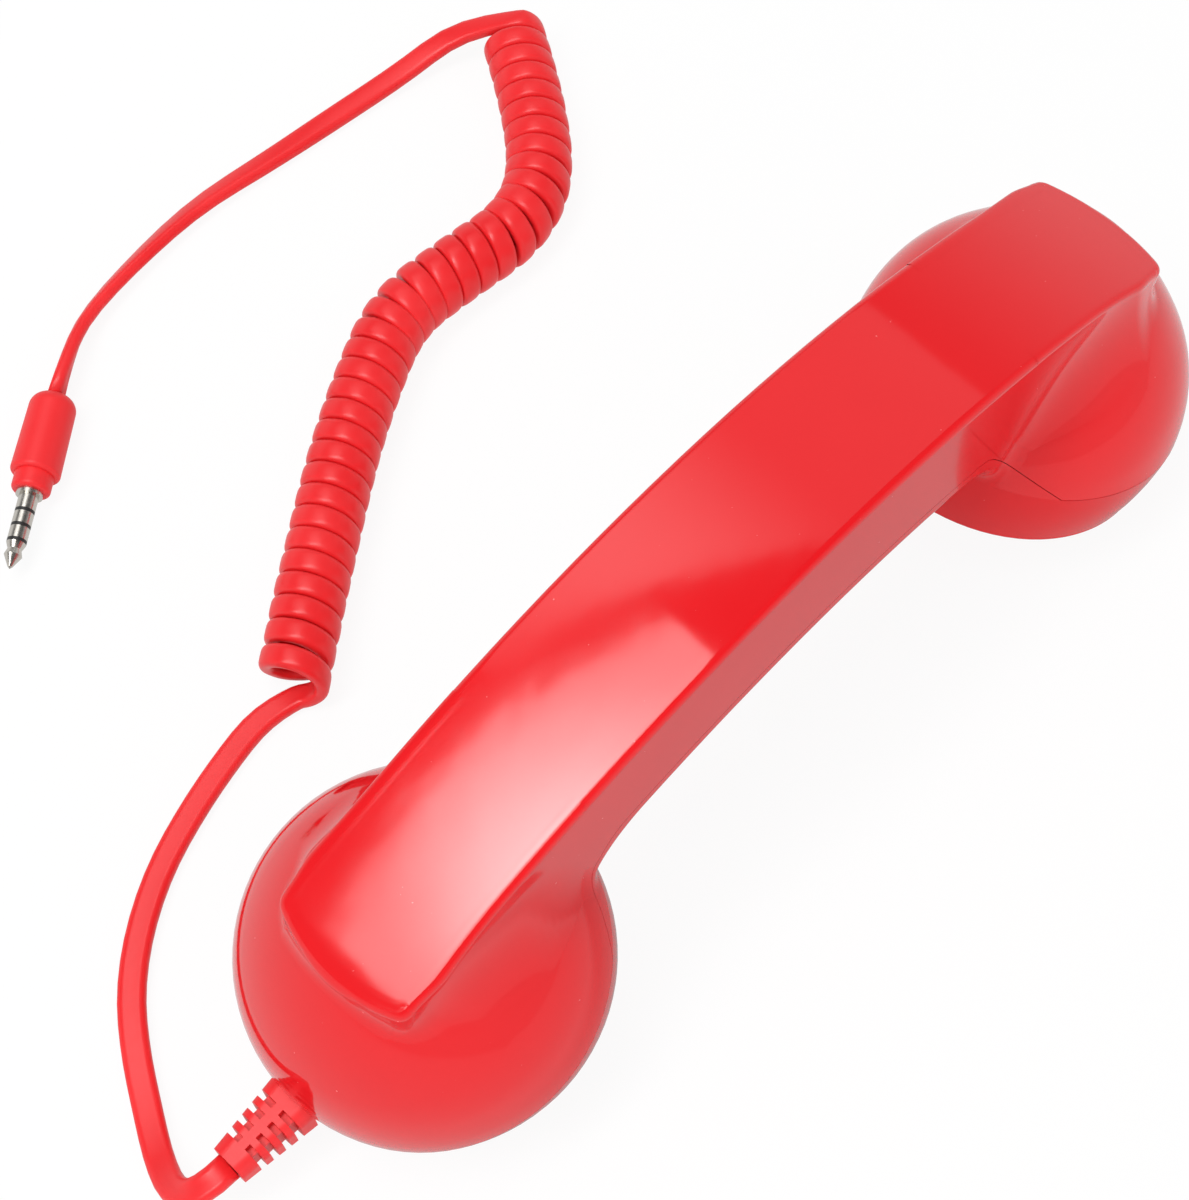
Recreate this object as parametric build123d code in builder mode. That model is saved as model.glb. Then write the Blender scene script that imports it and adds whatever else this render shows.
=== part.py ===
from build123d import *
import math
import os

os.makedirs("parts", exist_ok=True)

# Handle: a flat-topped arch between the two cups
arch_top = 71.4
arch_radius = 186.0
grip_width = 26.0
grip_depth = 27.4
grip_end = 88.6
grip_end_bow = 30.0
grip_end_corner = 2.5
grip_top_edge = 1.3
grip_under_edge = 2.5
gusset_lap = 2.7
gusset_foot_height = 20.0
gusset_slope = 12.0
gusset_radius = 13.0
crease_radius = 5.0
crease_step = 0.5

# Cups: domes on a tilted axis, closed by a tapered band with a round rim
cup_spacing = 144.8
cup_tilt = 17.7
cup_radius = 29.7
dome_lean = 5.0
shoulder_inset = 6.8
shoulder_height = 16.0
shoulder_slope = 39.0
dome_height = 30.4
dome_flat = 6.0
band_depth = 13.0
band_bulge = 0.4
rim_inset = 1.9
rim_round = 1.2
rim_width = 3.2

# Shell walls and the seam between the two halves
wall = 2.2
cap_recess = 2.2
floor = 2.0
seam_height = -0.8
seam_rise = 4.6
seam_corner_drop = 28.6
seam_corner_offset = 6.95
seam_foot_drop = 42.4
seam_foot_offset = 5.2
seam_corner_radius = 8.0
seam_gap = 0.15
lip_height = 1.2
lip_wall = 1.0
lip_play = 0.1

# Screws that hold the halves, two in each cup
screw_inset = 5.8
screw_radius = 1.25
screw_play = 0.1
thread_play = 0.02
screw_head_radius = 2.3
screw_head = 1.6
screw_head_play = 0.2
screw_length = 16.5
screw_spare = 0.5
screw_grip = 1.8
boss_radius = 3.2

# Perforated caps pressed into the rims
cap_play = 0.15
cap_thickness = 1.8
cap_dish = 0.9
cap_border = 5.6
cap_edge = 0.4
ear_hole_radius = 1.1
ear_hole_rings = ((1, 0.0), (6, 5.0), (12, 10.0))
mouth_hole_radius = 0.9
mouth_hole_rings = ((1, 0.0), (6, 3.6))

# Receiver, from its gasket up
gasket_lap = 2.6
gasket_play = 0.2
gasket_thickness = 0.8
basket_inset = 4.5
basket_flange = 1.0
basket_wall = 0.8
basket_depth = 5.5
magnet_radius = 10.0
magnet_height = 5.5
magnet_edge = 0.5
cone_border = 1.9
cone_neck = 4.5
cone_thickness = 0.4
cone_depth = 2.6
cone_dome = 1.2
cone_play = 0.1
ring_rib_play = 0.2
ring_rib_wall = 1.0
ring_rib_height = 2.0

# Microphone in its rubber boot
mic_radius = 4.85
mic_height = 6.7
mic_boot_radius = 6.2
mic_boot_play = 0.05
mic_boot_flange = 8.2
mic_boot_flange_thickness = 1.5
mic_boot_height = 7.6
mic_boot_gap = 0.1
mic_boot_lip = 0.9
mic_port_radius = 1.0

# Answer button under the middle of the handle, and what it presses
button_radius = 5.8
button_play = 0.15
button_stands_out = 0.7
button_flange_radius = 7.2
button_flange = 1.0
button_flange_gap = 0.1
button_stem_radius = 2.4
board_height = 6.9
button_edge = 0.5
button_travel = 0.5
travel_spare = 0.1
plunger_radius = 1.75
plunger_play = 0.1
plunger_length = 1.6
switch_side = 6.2
switch_height = 3.5
switch_corner = 0.4
board_length = 38.0
board_width = 14.0
board_thickness = 1.2
board_corner = 1.5
post_spacing = 30.0
post_radius = 2.3
board_screw_radius = 1.0
board_screw_length = 6.0
board_screw_head_radius = 1.9
board_screw_head = 1.2
chip_length = 5.0
chip_width = 4.0
chip_height = 1.4
chip_offset = 9.5

# Ribbed strain relief through the mouth cup's outer wall, on the seam
relief_height = 11.6
relief_neck_length = 5.0
relief_neck_side = 7.0
relief_play = 0.05
relief_flange_side = 8.8
relief_flange = 1.6
relief_base_side = 9.2
relief_tip_side = 6.6
relief_sunk = 1.7
relief_length = 13.6
relief_collar = 2.6
relief_rows = 4
relief_slot = 1.1
relief_slot_pitch = 2.3
relief_slot_depth = 1.5
relief_bridge = 1.5
relief_corner = 2.4

# Clamp that takes the pull of the cord inside the mouth cup
clamp_inset = 9.4
clamp_length = 4.0
clamp_width = 13.0
clamp_height = 4.6
clamp_corner = 0.8
clamp_play = 0.05
clamp_screw_spacing = 8.6
clamp_screw_radius = 0.9
clamp_screw_length = 6.4
clamp_screw_head_radius = 1.6
clamp_screw_head = 1.0

# Cord: flat twin cord, kept as plain tubes of its outer width
cord_width = 4.8
coil_width = 12.8
inner_cord_width = 3.0
lead_width = 1.6
lead_spread = 2.8
lead_stub = 8.0
bend_share = 0.45

# Plug on the table
plug_start = (-42.6, 126.5)
plug_heading = (-0.806, -0.592)
plug_body_radius = 4.5
plug_back_radius = 4.2
plug_back_round = 2.8
plug_body_length = 16.4
plug_front_round = 0.8
plug_collar_radius = 3.5
plug_collar_length = 3.4
plug_collar_round = 0.8
plug_lead_in = 7.0
jack_radius = 1.75
jack_core_radius = 1.1
jack_flange_radius = 2.4
jack_flange = 0.8
jack_sleeve = 2.9
jack_ring = 2.3
jack_insulator = 0.65
jack_tip = 5.0
jack_tip_neck = 2.4
jack_neck_radius = 1.25
jack_point_radius = 0.45
jack_tip_step = 0.15
jack_core_depth = 1.2

EAR = 1
MOUTH = -1
tilt = math.radians(cup_tilt)
shoulder_radius = cup_radius - shoulder_inset
rim_radius = cup_radius - rim_inset
rim_centre = rim_radius - rim_round
rim_bottom = band_depth + rim_round
cup_z = band_depth * math.cos(tilt) + rim_centre * math.sin(tilt) + rim_round
arch_centre = arch_top - arch_radius
under_radius = arch_radius - grip_depth
gusset_foot = cup_spacing / 2 - cup_radius + gusset_lap
gusset_lean = math.tan(math.radians(gusset_slope))
seam_corner_height = arch_top - seam_corner_drop
seam_corner = gusset_foot + (seam_corner_height - gusset_foot_height) * gusset_lean - seam_corner_offset
seam_foot_height = arch_top - seam_foot_drop
seam_foot = gusset_foot + (seam_foot_height - gusset_foot_height) * gusset_lean + seam_foot_offset
cap_radius = rim_radius - rim_width
cap_dish_radius = cap_radius - cap_border
screw_circle = rim_radius - screw_inset
basket_radius = screw_circle - basket_inset
gasket_radius = basket_radius - gasket_play
gasket_inner = gasket_radius - gasket_lap
speaker_opening = gasket_inner - gasket_play
cone_edge = basket_radius - cone_border
recess_floor = cap_recess - rim_bottom
inside_floor = recess_floor + floor
screw_seat = recess_floor + screw_grip
screw_end = screw_seat + screw_length
rib_radius = basket_radius + ring_rib_play
grip_floor = arch_top - grip_depth + wall
button_flange_face = grip_floor + button_flange_gap
button_face = arch_top - grip_depth - button_stands_out
board_bottom = grip_floor + board_height
board_top = board_bottom + board_thickness
board_middle = board_bottom + board_thickness / 2
board_screw_end = board_top - board_screw_length
relief_base_face = cup_spacing / 2 + cup_radius - relief_sunk
relief_inner_face = relief_base_face - relief_neck_length
relief_tip_face = relief_base_face + relief_length
clamp_place = relief_base_face - clamp_inset
clamp_seat = relief_height - inner_cord_width / 2
clamp_top = clamp_seat + clamp_height
clamp_screw_end = clamp_top - clamp_screw_length
clamp_screw_places = (
    (-clamp_place, -clamp_screw_spacing / 2),
    (-clamp_place, clamp_screw_spacing / 2),
)
plug_plane = Plane(
    origin=(*plug_start, plug_body_radius), x_dir=(*plug_heading, 0), z_dir=(0, 0, 1)
)
plug_axis = Axis(plug_plane.origin, plug_plane.x_dir)


def cup_plane(side, height, across=0.0):
    """Plane square to a cup's axis: side is 1 at the ear and -1 at the mouth."""
    x = side * (cup_spacing / 2 + height * math.sin(tilt) + across * math.cos(tilt))
    z = cup_z + height * math.cos(tilt) - across * math.sin(tilt)
    return Plane(
        origin=(x, 0, z),
        x_dir=(side * math.cos(tilt), 0, -math.sin(tilt)),
        z_dir=(side * math.sin(tilt), 0, math.cos(tilt)),
    )


def cup_section(side=1):
    """Plane through a cup's axis, x outwards and y up the axis."""
    flat = cup_plane(side, 0)
    return Plane(origin=flat.origin, x_dir=flat.x_dir, z_dir=flat.x_dir.cross(flat.z_dir))


def cup_axis(side=1):
    flat = cup_plane(side, 0)
    return Axis(flat.origin, flat.z_dir)


def cup_body(inset, base):
    """The ear cup, set in from its outside; with no base it has its rounded rim."""
    lean = math.radians(dome_lean)
    slope = math.radians(shoulder_slope)
    seam_point = (cup_radius - inset, seam_height)
    shoulder = (
        shoulder_radius - inset * math.cos(slope),
        shoulder_height - inset * math.sin(slope),
    )
    crown = (dome_flat, dome_height - inset)
    foot = (rim_radius - inset, -band_depth)
    waist = ((cup_radius + rim_radius) / 2 - inset + band_bulge, (seam_height - band_depth) / 2)
    rim = (rim_centre - inset, -rim_bottom)
    rim_middle = (
        rim[0] + rim_round * math.sin(math.pi / 4),
        -band_depth - rim_round * math.cos(math.pi / 4),
    )
    with BuildPart() as cup:
        with BuildSketch(cup_section()):
            with BuildLine():
                side_arc = TangentArc(seam_point, shoulder, tangent=(-math.sin(lean), math.cos(lean)))
                TangentArc(shoulder, crown, tangent=side_arc % 1)
                Polyline(crown, (0, crown[1]), (0, rim[1]), rim)
                ThreePointArc(rim, rim_middle, foot)
                ThreePointArc(foot, waist, seam_point)
            make_face()
        revolve(axis=cup_axis())
        if base is not None:
            split(bisect_by=cup_plane(1, base), keep=Keep.TOP)
    return cup.part


def grip_body(inset, rounded=False):
    """The arched handle, with the gussets that run down into the cups."""
    foot = gusset_foot + inset
    half = grip_width / 2 - inset
    end = grip_end - inset
    corner = end - grip_end_bow + math.sqrt(grip_end_bow**2 - half**2)
    with BuildPart() as grip:
        with BuildSketch(Plane.XZ):
            with Locations((0, arch_centre)):
                Circle(arch_radius - inset)
                Circle(under_radius + inset, mode=Mode.SUBTRACT)
            Rectangle(2 * end, 4 * arch_top, mode=Mode.INTERSECT)
            lean = (arch_top - grip_depth - gusset_foot_height) * gusset_lean
            for side in (1, -1):
                with BuildLine():
                    Polyline(
                        (side * foot, gusset_foot_height),
                        (side * (foot + lean), arch_top - grip_depth),
                        (side * (cup_spacing / 2), arch_top - grip_depth),
                        (side * (cup_spacing / 2), gusset_foot_height),
                        close=True,
                    )
                make_face()
        extrude(amount=half, both=True)
        armpits = grip.edges().filter_by(Axis.Y).filter_by(
            lambda e: gusset_foot_height + 1 < e.center().Z < arch_top - grip_depth
            and abs(e.center().X) < cup_spacing / 2 - 1
        )
        fillet(armpits, gusset_radius + inset)
        with BuildSketch(Plane.XY):
            with BuildLine():
                top = Line((-corner, half), (corner, half))
                right = ThreePointArc((corner, half), (end, 0), (corner, -half))
                Line((corner, -half), (-corner, -half))
                ThreePointArc((-corner, -half), (-end, 0), (-corner, half))
            make_face()
            if rounded:
                fillet(vertices(), grip_end_corner)
        extrude(amount=2 * arch_top, mode=Mode.INTERSECT)
        if rounded:
            ribbon = grip.faces().filter_by(GeomType.CYLINDER).sort_by(SortBy.AREA)[-1]
            fillet(ribbon.edges(), grip_top_edge)
            under = grip.edges().filter_by(
                lambda e: abs(abs(e.center().Y) - half) < 0.01
                and abs(e.center().X) < gusset_foot + 5
                and e.center().Z < arch_top - grip_depth + 1
                and e.length > 1
            )
            fillet(under, grip_under_edge)
    return grip.part


def handset_body(inset=0.0, base=None, rounded=False):
    """Handle and both cups in one, set in by a wall; the creases get what radius their walls allow."""
    cup = cup_body(inset, base)
    grip = grip_body(inset, rounded)
    with BuildPart() as body:
        add(cup)
        mirror(about=Plane.YZ)
        add(grip)
        if rounded:
            creases = body.edges().filter_by(GeomType.BSPLINE).filter_by(
                lambda e: abs(abs(e.center().Y) - grip_width / 2) < grip_top_edge / 4
                and abs(e.center().X) > gusset_foot
                and e.length > crease_radius
            )
            radius = crease_radius
            while radius > grip_top_edge:
                try:
                    fillet(creases, radius)
                    break
                except ValueError:
                    radius = radius - crease_step
    return body.part


def front_zone(offset):
    """The front shell's side of the seam, moved towards the back shell by offset."""
    reach = 2 * cup_spacing
    spread = (seam_foot - seam_corner) / (seam_corner_height - seam_foot_height)
    low = seam_corner_height - reach
    corner = seam_corner + offset
    top_x = corner - (arch_top - seam_corner_height) * spread
    low_x = corner + reach * spread
    with BuildPart() as zone:
        with BuildSketch(Plane.XZ):
            with Locations((0, arch_centre)):
                Circle(under_radius + seam_rise + offset)
            with BuildLine():
                Polyline(
                    (-low_x, low), (low_x, low), (top_x, arch_top), (-top_x, arch_top), close=True
                )
            make_face(mode=Mode.INTERSECT)
            fillet(vertices().group_by(Axis.Y)[-1], seam_corner_radius)
            for side in (EAR, MOUTH):
                far = cup_plane(side, seam_height + offset, cup_spacing).origin
                near_height = far.Z + abs(far.X) * math.tan(tilt)
                with BuildLine():
                    Polyline((0, near_height), (far.X, far.Z), (far.X, low), (0, low), close=True)
                make_face()
        extrude(amount=2 * cup_radius, both=True)
    return zone.part


def turned(side, *outline):
    """A round piece on a cup's axis, from the (radius, height) corners of its section."""
    with BuildPart() as piece:
        with BuildSketch(cup_section(side)):
            with BuildLine():
                Polyline(*outline, close=True)
            make_face()
        revolve(axis=cup_axis(side))
    return piece.part


def cup_posts(side, radius, low, high):
    """Two round posts, or holes, on the screws' places in a cup."""
    with BuildPart() as posts:
        with BuildSketch(cup_plane(side, low)):
            with PolarLocations(screw_circle, 2, start_angle=90):
                Circle(radius)
        extrude(amount=high - low)
    return posts.part


def upright_posts(places, radius, low, high):
    """Round posts, or holes, standing along Z at the given places."""
    with BuildPart() as posts:
        with BuildSketch(Plane.XY.offset(low)):
            with Locations(*places):
                Circle(radius)
        extrude(amount=high - low)
    return posts.part


def perforated_cap(side, hole_radius, hole_rings):
    """Dished disc with rings of sound holes, on the floor of a cup's recess."""
    outside = recess_floor - cap_thickness
    with BuildPart() as cap:
        with BuildSketch(cup_section(side)):
            with BuildLine():
                ThreePointArc(
                    (0, outside + cap_dish),
                    (cap_dish_radius / 2, outside + cap_dish * 3 / 4),
                    (cap_dish_radius, outside),
                )
                Polyline(
                    (cap_dish_radius, outside),
                    (cap_radius - cap_edge, outside),
                    (cap_radius, outside + cap_edge),
                    (cap_radius, recess_floor),
                    (0, recess_floor),
                    (0, outside + cap_dish),
                )
            make_face()
        revolve(axis=cup_axis(side))
        with BuildSketch(cup_plane(side, recess_floor)):
            for count, radius in hole_rings:
                with PolarLocations(radius, count):
                    Circle(hole_radius)
        extrude(amount=cap_thickness, both=True, mode=Mode.SUBTRACT)
    return cap.part


def relief_plane(distance):
    """Plane across the strain relief, at a distance from the middle of the handset."""
    return Plane(origin=(-distance, 0, relief_height), x_dir=(0, 1, 0), z_dir=(-1, 0, 0))


def square_bar(side, start, end):
    """Square bar along the strain relief's axis."""
    with BuildPart() as bar:
        with BuildSketch(relief_plane(start)):
            Rectangle(side, side)
        extrude(amount=end - start)
    return bar.part


def climb(low, share):
    """Height at a share of the way up to the middle of the circuit board."""
    return low + share * (board_middle - low)


def bend_radii(points):
    """At each corner, the largest arc that its two runs allow."""
    radii = []
    for before, corner, after in zip(points, points[1:], points[2:]):
        arriving = Vector(corner) - Vector(before)
        leaving = Vector(after) - Vector(corner)
        half_turn = math.radians(arriving.get_angle(leaving)) / 2
        radii.append(bend_share * min(arriving.length, leaving.length) / math.tan(half_turn))
    return radii


def tube(name, points, width):
    """A round cord of one width, in straight runs joined by tangent arcs."""
    radii = bend_radii(points)
    with BuildPart() as cord:
        with BuildLine() as route:
            FilletPolyline(*points, radius=radii)
        path = route.wire()
        with BuildSketch(Plane(origin=path @ 0, z_dir=path % 0)):
            Circle(width / 2)
        sweep(path=path)
    length = path.length
    print(name, "length", round(length, 1), "bend radii", [round(radius, 1) for radius in radii])
    drawn = length * math.pi * width**2 / 4
    print(name, "volume / (section x length)", round(cord.part.volume / drawn, 4))
    return cord.part


def plug_piece(*outline):
    """A round piece on the plug's axis, from the (distance, radius) corners of its section."""
    with BuildPart() as piece:
        with BuildSketch(plug_plane):
            with BuildLine():
                Polyline(*outline, close=True)
            make_face()
        revolve(axis=plug_axis)
    return piece.part


# Shells, split along the seam
outer = handset_body(rounded=True)
core = handset_body(wall / 2, recess_floor + floor / 2)
cavity = handset_body(wall, inside_floor)
lip_layer = handset_body(wall - lip_wall, inside_floor - floor / 2)
rebate_layer = handset_body(wall - lip_wall - lip_play, inside_floor - floor / 2)
board_places = ((-post_spacing / 2, 0), (post_spacing / 2, 0))
neck_hole = square_bar(
    relief_neck_side + 2 * relief_play, relief_inner_face - relief_base_side, relief_tip_face
)
base_pocket = square_bar(
    relief_base_side + 2 * relief_play, relief_base_face - relief_play, relief_tip_face
)

with BuildPart() as back_bosses:
    for side in (EAR, MOUTH):
        add(cup_posts(side, boss_radius, seam_height, shoulder_height))
    add(core, mode=Mode.INTERSECT)

with BuildPart() as rebate:
    add(rebate_layer)
    add(front_zone(lip_height + lip_play), mode=Mode.INTERSECT)

with BuildPart() as back_shell:
    add(outer)
    add(front_zone(0), mode=Mode.SUBTRACT)
    add(rebate.part, mode=Mode.SUBTRACT)
    add(cavity, mode=Mode.SUBTRACT)
    add(back_bosses.part)
    for side in (EAR, MOUTH):
        add(
            cup_posts(side, screw_radius + thread_play, seam_height, screw_end + screw_spare),
            mode=Mode.SUBTRACT,
        )
    add(neck_hole, mode=Mode.SUBTRACT)
    add(base_pocket, mode=Mode.SUBTRACT)
back_shell.part.label = "back_shell"
export_step(back_shell.part, "parts/back_shell.step")

with BuildPart() as lip:
    add(lip_layer)
    add(front_zone(lip_height), mode=Mode.INTERSECT)

with BuildPart() as front_bosses:
    for side in (EAR, MOUTH):
        add(cup_posts(side, boss_radius, recess_floor, seam_height - seam_gap))
    add(upright_posts(board_places, post_radius, 0, board_bottom))
    with BuildSketch(Plane.XY):
        with Locations((-clamp_place, 0)):
            Rectangle(clamp_length, clamp_width)
    extrude(amount=clamp_seat)
    add(core, mode=Mode.INTERSECT)

with BuildPart() as front_shell:
    add(outer)
    add(front_zone(-seam_gap), mode=Mode.INTERSECT)
    add(lip.part)
    add(cavity, mode=Mode.SUBTRACT)
    add(front_bosses.part)
    add(
        turned(
            EAR,
            (rib_radius, inside_floor - floor / 2),
            (rib_radius + ring_rib_wall, inside_floor - floor / 2),
            (rib_radius + ring_rib_wall, inside_floor + ring_rib_height),
            (rib_radius, inside_floor + ring_rib_height),
        )
    )
    for side, opening in ((EAR, speaker_opening), (MOUTH, mic_boot_radius + mic_boot_play)):
        with BuildSketch(cup_plane(side, recess_floor)):
            Circle(cap_radius + cap_play)
        extrude(amount=-2 * cap_recess, mode=Mode.SUBTRACT)
        with BuildSketch(cup_plane(side, recess_floor)):
            Circle(opening)
        extrude(amount=floor, mode=Mode.SUBTRACT)
        add(
            cup_posts(side, screw_head_radius + screw_head_play, recess_floor, screw_seat),
            mode=Mode.SUBTRACT,
        )
        add(cup_posts(side, screw_radius + screw_play, screw_seat, 0), mode=Mode.SUBTRACT)
    add(
        upright_posts(((0, 0),), button_radius + button_play, button_face, button_flange_face),
        mode=Mode.SUBTRACT,
    )
    add(
        upright_posts(board_places, board_screw_radius + thread_play, board_screw_end, board_bottom),
        mode=Mode.SUBTRACT,
    )
    add(
        upright_posts(clamp_screw_places, clamp_screw_radius + thread_play, clamp_screw_end, clamp_seat),
        mode=Mode.SUBTRACT,
    )
    add(neck_hole, mode=Mode.SUBTRACT)
    add(base_pocket, mode=Mode.SUBTRACT)
front_shell.part.label = "front_shell"
export_step(front_shell.part, "parts/front_shell.step")

with BuildPart() as shell_screws:
    for side in (EAR, MOUTH):
        add(cup_posts(side, screw_head_radius, screw_seat - screw_head, screw_seat))
        add(cup_posts(side, screw_radius, screw_seat, screw_end))
shell_screws.part.label = "shell_screws"
export_step(shell_screws.part, "parts/shell_screws.step")

# Caps over the sound holes
ear_cap = perforated_cap(EAR, ear_hole_radius, ear_hole_rings)
ear_cap.label = "ear_cap"
export_step(ear_cap, "parts/ear_cap.step")

mouth_cap = perforated_cap(MOUTH, mouth_hole_radius, mouth_hole_rings)
mouth_cap.label = "mouth_cap"
export_step(mouth_cap, "parts/mouth_cap.step")

# Receiver in the ear cup
gasket_top = inside_floor + gasket_thickness
basket_top = gasket_top + basket_depth
cone_foot = gasket_top + basket_wall / 4
cone_top = cone_foot + cone_depth

with BuildPart() as speaker_gasket:
    add(
        turned(
            EAR,
            (gasket_inner, inside_floor),
            (gasket_radius, inside_floor),
            (gasket_radius, gasket_top),
            (gasket_inner, gasket_top),
        )
    )
speaker_gasket.part.label = "speaker_gasket"
export_step(speaker_gasket.part, "parts/speaker_gasket.step")

with BuildPart() as speaker_frame:
    basket_inner = cone_edge + cone_play
    add(
        turned(
            EAR,
            (basket_inner, gasket_top),
            (basket_radius, gasket_top),
            (basket_radius, gasket_top + basket_flange),
            (basket_inner + basket_wall, gasket_top + basket_flange),
            (magnet_radius + basket_wall, basket_top),
            (cone_neck + basket_wall, basket_top),
            (cone_neck + basket_wall, basket_top - basket_wall),
            (magnet_radius, basket_top - basket_wall),
            (basket_inner, gasket_top + basket_flange - basket_wall / 2),
        )
    )
speaker_frame.part.label = "speaker_frame"
export_step(speaker_frame.part, "parts/speaker_frame.step")

with BuildPart() as speaker_cone:
    add(
        turned(
            EAR,
            (0, cone_top - cone_dome),
            (cone_neck, cone_top),
            (cone_edge, cone_foot),
            (cone_edge, cone_foot + cone_thickness),
            (cone_neck, cone_top + cone_thickness),
            (0, cone_top - cone_dome + cone_thickness),
        )
    )
speaker_cone.part.label = "speaker_cone"
export_step(speaker_cone.part, "parts/speaker_cone.step")

with BuildPart() as speaker_magnet:
    with BuildSketch(cup_plane(EAR, basket_top)):
        Circle(magnet_radius)
    extrude(amount=magnet_height)
    chamfer(speaker_magnet.faces().sort_by(Axis.Z)[-1].edges(), magnet_edge)
speaker_magnet.part.label = "speaker_magnet"
export_step(speaker_magnet.part, "parts/speaker_magnet.step")

# Microphone in the mouth cup
capsule_face = recess_floor + mic_boot_gap + mic_boot_lip
capsule_top = capsule_face + mic_height
boot_top = recess_floor + mic_boot_height

with BuildPart() as microphone_boot:
    boot_face = recess_floor + mic_boot_gap
    add(
        turned(
            MOUTH,
            (mic_port_radius, boot_face),
            (mic_boot_radius, boot_face),
            (mic_boot_radius, inside_floor),
            (mic_boot_flange, inside_floor),
            (mic_boot_flange, inside_floor + mic_boot_flange_thickness),
            (mic_boot_radius, inside_floor + mic_boot_flange_thickness),
            (mic_boot_radius, boot_top),
            (mic_radius + mic_boot_play, boot_top),
            (mic_radius + mic_boot_play, capsule_face),
            (mic_port_radius, capsule_face),
        )
    )
microphone_boot.part.label = "microphone_boot"
export_step(microphone_boot.part, "parts/microphone_boot.step")

with BuildPart() as microphone_capsule:
    with BuildSketch(cup_plane(MOUTH, capsule_face)):
        Circle(mic_radius)
    extrude(amount=mic_height)
microphone_capsule.part.label = "microphone_capsule"
export_step(microphone_capsule.part, "parts/microphone_capsule.step")

# Answer button, its plunger and the switch on the circuit board
switch_face = board_bottom - switch_height
stem_top = switch_face - button_travel - travel_spare
plunger_top = stem_top + plunger_length

with BuildPart() as answer_button:
    with BuildSketch(Plane.XY.offset(button_face)):
        Circle(button_radius)
    extrude(amount=button_flange_face - button_face)
    fillet(answer_button.faces().sort_by(Axis.Z)[0].edges(), button_edge)
    with BuildSketch(Plane.XY.offset(button_flange_face)):
        Circle(button_flange_radius)
    extrude(amount=button_flange)
    with BuildSketch(Plane.XY.offset(button_flange_face + button_flange)):
        Circle(button_stem_radius)
    extrude(amount=stem_top - button_flange_face - button_flange)
answer_button.part.label = "answer_button"
export_step(answer_button.part, "parts/answer_button.step")

with BuildPart() as switch_plunger:
    with BuildSketch(Plane.XY.offset(stem_top)):
        Circle(plunger_radius)
    extrude(amount=plunger_length)
switch_plunger.part.label = "switch_plunger"
export_step(switch_plunger.part, "parts/switch_plunger.step")

with BuildPart() as tact_switch:
    with BuildSketch(Plane.XY.offset(switch_face)):
        RectangleRounded(switch_side, switch_side, switch_corner)
    extrude(amount=switch_height)
    with BuildSketch(Plane.XY.offset(switch_face)):
        Circle(plunger_radius + plunger_play)
    extrude(amount=plunger_top + button_travel + travel_spare - switch_face, mode=Mode.SUBTRACT)
tact_switch.part.label = "tact_switch"
export_step(tact_switch.part, "parts/tact_switch.step")

with BuildPart() as circuit_board:
    with BuildSketch(Plane.XY.offset(board_bottom)):
        RectangleRounded(board_length, board_width, board_corner)
        with Locations(*board_places):
            Circle(board_screw_radius + screw_play, mode=Mode.SUBTRACT)
    extrude(amount=board_thickness)
circuit_board.part.label = "circuit_board"
export_step(circuit_board.part, "parts/circuit_board.step")

with BuildPart() as amplifier_chip:
    with BuildSketch(Plane.XY.offset(board_top)):
        with Locations((chip_offset, 0)):
            Rectangle(chip_length, chip_width)
    extrude(amount=chip_height)
amplifier_chip.part.label = "amplifier_chip"
export_step(amplifier_chip.part, "parts/amplifier_chip.step")

with BuildPart() as board_screws:
    add(upright_posts(board_places, board_screw_radius, board_screw_end, board_top))
    add(upright_posts(board_places, board_screw_head_radius, board_top, board_top + board_screw_head))
board_screws.part.label = "board_screws"
export_step(board_screws.part, "parts/board_screws.step")

# Strain relief: a neck through the wall, a flange inside and slotted rubber outside
with BuildPart() as strain_relief:
    with BuildSketch(relief_plane(relief_base_face)):
        RectangleRounded(relief_base_side, relief_base_side, relief_corner)
    with BuildSketch(relief_plane(relief_tip_face)):
        RectangleRounded(relief_tip_side, relief_tip_side, relief_corner)
    loft()
    for row in range(relief_rows):
        place = relief_base_face + relief_collar + relief_slot / 2 + row * relief_slot_pitch
        narrowing = (place - relief_base_face) / relief_length
        side_here = relief_base_side + (relief_tip_side - relief_base_side) * narrowing
        core_side = side_here - 2 * relief_slot_depth
        with BuildSketch(relief_plane(place)):
            Rectangle(2 * relief_base_side, 2 * relief_base_side)
            Rectangle(core_side, core_side, mode=Mode.SUBTRACT)
            Rectangle(relief_bridge, relief_base_side, mode=Mode.SUBTRACT)
        extrude(amount=relief_slot / 2, both=True, mode=Mode.SUBTRACT)
    add(square_bar(relief_neck_side, relief_inner_face, relief_base_face))
    add(square_bar(relief_flange_side, relief_inner_face - relief_flange, relief_inner_face))
strain_relief.part.label = "strain_relief"
export_step(strain_relief.part, "parts/strain_relief.step")

# Clamp over the cord, on its pad in the mouth cup
with BuildPart() as cord_clamp:
    with BuildSketch(Plane.XY.offset(clamp_seat)):
        with Locations((-clamp_place, 0)):
            RectangleRounded(clamp_length, clamp_width, clamp_corner)
        with Locations(*clamp_screw_places):
            Circle(clamp_screw_radius + screw_play, mode=Mode.SUBTRACT)
    extrude(amount=clamp_height)
    with BuildSketch(Plane.YZ.offset(-clamp_place)):
        with Locations((0, relief_height)):
            Circle(inner_cord_width / 2 + clamp_play)
        with Locations((0, clamp_seat)):
            Rectangle(inner_cord_width + 2 * clamp_play, inner_cord_width)
    extrude(amount=clamp_length, both=True, mode=Mode.SUBTRACT)
cord_clamp.part.label = "cord_clamp"
export_step(cord_clamp.part, "parts/cord_clamp.step")

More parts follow.
